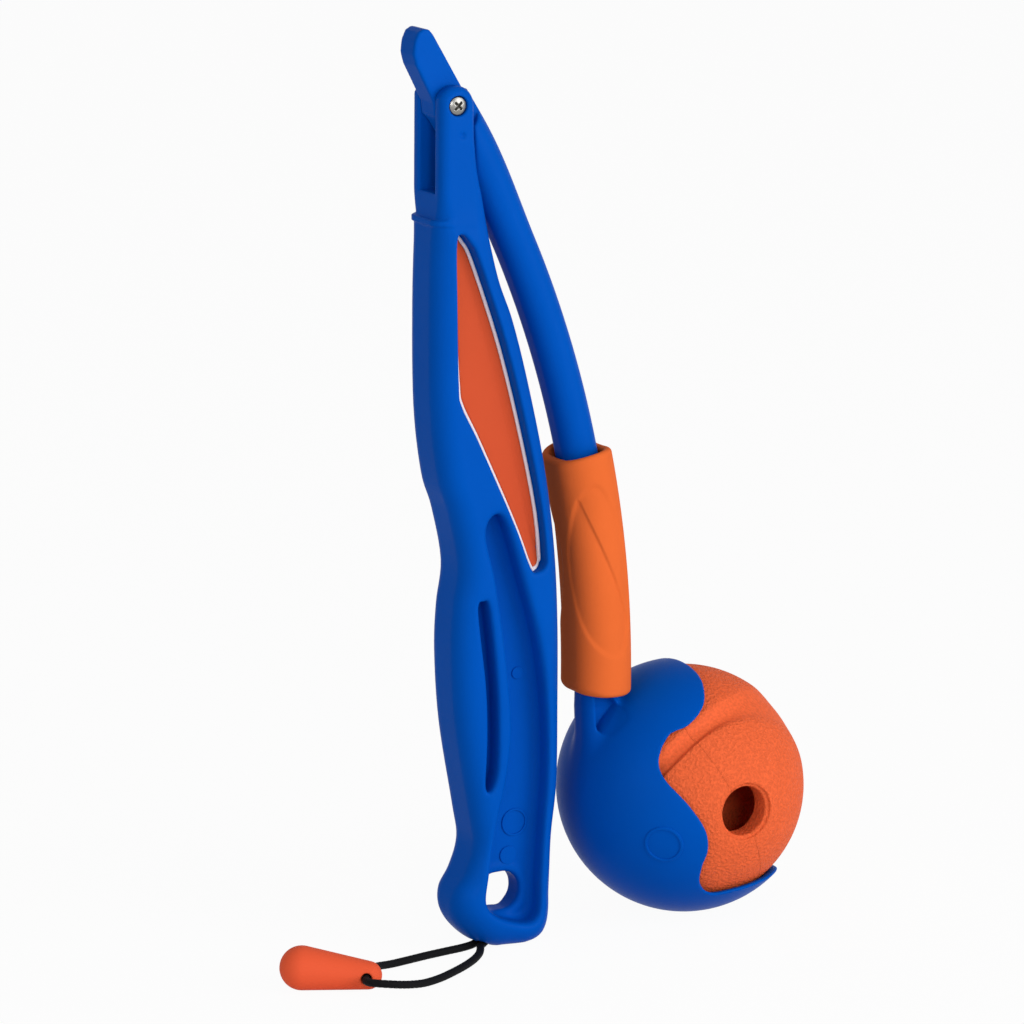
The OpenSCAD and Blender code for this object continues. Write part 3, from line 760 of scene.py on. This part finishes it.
def moulded(name, colour, roughness, specular, grain, depth, mottle=0.05):
    """Moulded plastic or rubber: fine grain, and colour and gloss that wander a little."""
    broad_scale, broad_detail, fine_detail, fine_span, gloss_sway = 60, 3, 2, (0.3, 0.7), 0.06
    material, tree, shader, where = start_material(name, colour, specular)
    broad = noise(tree, where, broad_scale, broad_detail)
    fine = noise(tree, where, 1/(grain*MM), fine_detail)
    tint = tinted(tree, broad, [c*(1 - mottle) for c in colour], [c*(1 + mottle) for c in colour])
    gloss = ranged(tree, fine, *fine_span, roughness - gloss_sway, roughness + gloss_sway)
    dress(tree, shader, tint, gloss, fine, depth)
    return material


def along_way(tree, where, way):
    """Distance from the ball's middle along a direction, in millimetres."""
    middle_of_ball = tuple(ball_centre*MM)
    scaled = tuple(np.asarray(way, float)/MM)
    off = add(tree, "ShaderNodeVectorMath", {0: where, 1: middle_of_ball}, operation="SUBTRACT").outputs[0]
    return add(tree, "ShaderNodeVectorMath", {0: off, 1: scaled}, operation="DOT_PRODUCT").outputs["Value"]


def off_groove(tree, where):
    """Distance from the ball's smooth band, which widens to one side."""
    across = along_way(tree, where, groove_way)
    past = maths(tree, "SUBTRACT", along_way(tree, where, (1, 0, 0)), groove_from)
    past = maths(tree, "MAXIMUM", past, 0)
    widening = maths(tree, "MULTIPLY", maths(tree, "MULTIPLY", past, past), groove_widen)
    below = maths(tree, "SUBTRACT", maths(tree, "SUBTRACT", groove_low, widening), across)
    return maths(tree, "MAXIMUM", below, maths(tree, "SUBTRACT", across, groove_high))


def stippled(name, colour, roughness):
    """Ball rubber: pebbled all over, with painted shade darkening the pebbles' pits, but smooth in the
    groove, with a fine seam round it.
    """
    specular, gloss_sway, pit_shade_share = 0.08, 0.1, 0.82
    pebble_scale, pebble_detail, pebble_span, pebble_depth = 1250, 2.5, (0.36, 0.64), 0.2
    band_span, band_share, seam_span, seam_h = (-0.5, 0.6), 0.08, (0.12, 0.3), 0.9
    material, tree, shader, where = start_material(name, colour, specular)
    pebbles = noise(tree, where, pebble_scale, pebble_detail)
    crisp = ranged(tree, pebbles, *pebble_span, 0, 1)
    rough_part = ranged(tree, off_groove(tree, where), *band_span, band_share, 1)
    off_seam = maths(tree, "ABSOLUTE", along_way(tree, where, seam_way))
    seam = ranged(tree, off_seam, *seam_span, seam_h, 0)
    height = maths(tree, "ADD", maths(tree, "MULTIPLY", crisp, rough_part), seam)
    # Painted shade: the pebbles' low pits are coloured darker.
    tint = tinted(tree, crisp, [c*pit_shade_share for c in colour], colour)
    gloss = ranged(tree, pebbles, 0, 1, roughness - gloss_sway, roughness + gloss_sway)
    dress(tree, shader, tint, gloss, height, pebble_depth)
    return material


# Colour, roughness and, where moulded, specular level, the grain's size and depth in mm, and the mottle
blue_plastic = moulded("blue_plastic", (0.0, 0.079, 0.44), 0.36, 0.015, 0.45, 0.03)
white_border = moulded("white_border", (0.8, 0.72, 0.76), 0.45, 0.2, 0.3, 0.01)
# The labels' orange is darkened as painted shade, the shade of their sunk pockets.
label_orange = moulded("label_orange", (0.575, 0.075, 0.024), 0.6, 0.08, 0.4, 0.03)
steel = moulded("steel", (0.25, 0.245, 0.23), 0.3, 0.5, 0.25, 0.01)
steel.node_tree.nodes["Principled BSDF"].inputs["Metallic"].default_value = 1
sleeve_rubber = moulded("sleeve_rubber", (0.74, 0.138, 0.03), 0.62, 0.03, 0.4, 0.02)
ball_rubber = stippled("ball_rubber", (0.87, 0.137, 0.041), 0.6)
cord_black = moulded("cord_black", (0.006, 0.006, 0.007), 0.65, 0.06, 0.2, 0.02, 0.3)
toggle_orange = moulded("toggle_orange", (0.82, 0.105, 0.038), 0.62, 0.1, 0.5, 0.015)


# Camera, floor and light

def make_camera():
    """The photograph's view, from the camera's place and the ways that it faces."""
    at = Vector((-0.73212, -1.4189, 0.49242))
    data = bpy.data.cameras.new("camera")
    data.sensor_width = 36
    data.lens = 211.16
    data.clip_end = 50
    made = bpy.data.objects.new("camera", data)
    right, up = Vector((0.8823, -0.4695, -0.0350)), Vector((0.1363, 0.1836, 0.9735))
    back = Vector((-0.4506, -0.8637, 0.2259))
    turn = Matrix((right, up, back)).transposed()
    made.matrix_world = Matrix.Translation(at) @ turn.to_4x4()
    bpy.context.scene.collection.objects.link(made)
    bpy.context.scene.camera = made


def seen_or_mirrored(tree):
    """One for what the camera, a gloss or a glass sees, and nothing for light that falls on the object."""
    path = add(tree, "ShaderNodeLightPath", {})
    first = maths(tree, "ADD", path.outputs["Is Camera Ray"], path.outputs["Is Glossy Ray"])
    return maths(tree, "ADD", first, path.outputs["Is Transmission Ray"], use_clamp=True)


def make_floor(white_share):
    """A white floor that keeps the object's shadow."""
    bpy.ops.mesh.primitive_plane_add(size=8)
    floor = bpy.context.object
    floor.name = "floor"
    material, tree, shader, _ = start_material("floor_white", (0.85, 0.85, 0.85), 0.0)
    seen = maths(tree, "MULTIPLY", seen_or_mirrored(tree), white_share)
    white = add(tree, "ShaderNodeEmission", {"Color": (1, 1, 1, 1), "Strength": 1.0}).outputs[0]
    mixed = add(tree, "ShaderNodeMixShader", {0: seen, 1: shader.outputs[0], 2: white}).outputs[0]
    tree.links.new(mixed, tree.nodes["Material Output"].inputs["Surface"])
    floor.data.materials.append(material)


def make_world(strength, seen_level):
    """A white world, with one level for the light that it gives and one for what is seen of it."""
    world = bpy.data.worlds.new("studio")
    bpy.context.scene.world = world
    world.use_nodes = True
    tree = world.node_tree
    level = ranged(tree, seen_or_mirrored(tree), 0, 1, strength, seen_level)
    tree.nodes["Background"].inputs["Color"].default_value = (1, 1, 1, 1)
    tree.links.new(level, tree.nodes["Background"].inputs["Strength"])


def area_light(name, at, aim, size, power):
    """A round soft lamp."""
    data = bpy.data.lights.new(name, "AREA")
    data.shape = "DISK"
    data.size = size
    data.energy = power
    made = bpy.data.objects.new(name, data)
    made.location = at
    made.rotation_euler = (Vector(aim) - Vector(at)).to_track_quat("-Z", "Y").to_euler()
    bpy.context.scene.collection.objects.link(made)


make_camera()
make_floor(white_share=0.95)
make_world(strength=0.36, seen_level=0.97)
middle = (0.02, 0, 0.1)
area_light("key", (0.75, -1.25, 0.5), middle, size=1.2, power=15)
area_light("fill", (-1.4, -0.8, 0.5), middle, size=1.3, power=4.5)
area_light("front", (-0.45, -1.4, 0.5), middle, size=0.25, power=4)
bpy.context.scene.view_settings.view_transform = "Standard"

# Pieces, each with the box that holds it and the size of its net's cells

knot_middle = cord_bend + slope_in*knot_along
knot_piece = build("knot_piece", knot, knot_middle - knot_room, knot_middle + knot_room, 0.18)
place(knot_piece, "handle", ["cord_knot"], cord_black)
pull_piece = build("pull_piece", pull, (-72, -23, 0), (-46, -1, 12.3), 0.3)
place(pull_piece, "handle", ["cord_toggle"], toggle_orange)
cord, cord_line, cord_length = cord_mesh()
place(cord, "handle", ["bungee_cord"], cord_black)
place(build("handle_piece", handle, (-18.5, -10.2, 0), (18.7, 10.2, 242), 0.5), "handle", ["handle_body"],
      blue_plastic)
place(build("throwing_arm_piece", arm, (-21, -36.2, 0), (96, 36.2, 258), 0.5), "arm", ["throwing_arm"],
      blue_plastic)
place(build("sleeve_piece", sleeve, (20, -11.5, 64), (42, 11.5, 138), 0.4), "sleeve", ["lock_sleeve"],
      sleeve_rubber)
place(build("ball_piece", ball, ball_centre - ball_r, ball_centre + ball_r, 0.5), "ball", ["ball"],
      ball_rubber)
for side_name, side_y in (("near", -1), ("far", 1)):
    edges = sorted((side_y*label_floor, side_y*(label_floor + label_t + border_proud + label_lean)))
    low, high = (-12, edges[0], 105), (14.2, edges[1], 203)
    place(build(f"label_border_{side_name}_piece", border(side_y), low, high, 0.3), "handle",
          [f"label_border_{side_name}"], white_border)
    place(build(f"label_plate_{side_name}_piece", plate(side_y), low, high, 0.4), "handle",
          [f"label_plate_{side_name}"], label_orange)
place(build("screw_piece", screw, hinge - [2.7, 9.4, 2.7], hinge + [2.7, 9.4, 2.7], 0.12), "handle",
      ["hinge_screw"], steel)
place(build("nut_piece", nut, hinge + [-3.3, 6.8, -3.3], hinge + [3.3, 9.4, 3.3], 0.12), "handle",
      ["hinge_nut"], steel)
for name, x, z, inner, outer in floor_marks:
    at, reach = np.array([x, -web_half, z]), np.array([outer, mark_h, outer])
    mark = build(name, floor_mark(x, z, inner, outer), at - reach, at + reach, 0.1)
    place(mark, "handle", [], blue_plastic)
ring_middle = ball_centre + ring_at
ring_low, ring_high = ring_middle - ring_r - ring_room, ring_middle + ring_r + ring_room
cup_ring_piece = build("cup_ring_piece", cup_ring, ring_low, ring_high, 0.12)
place(cup_ring_piece, "arm", [], blue_plastic)
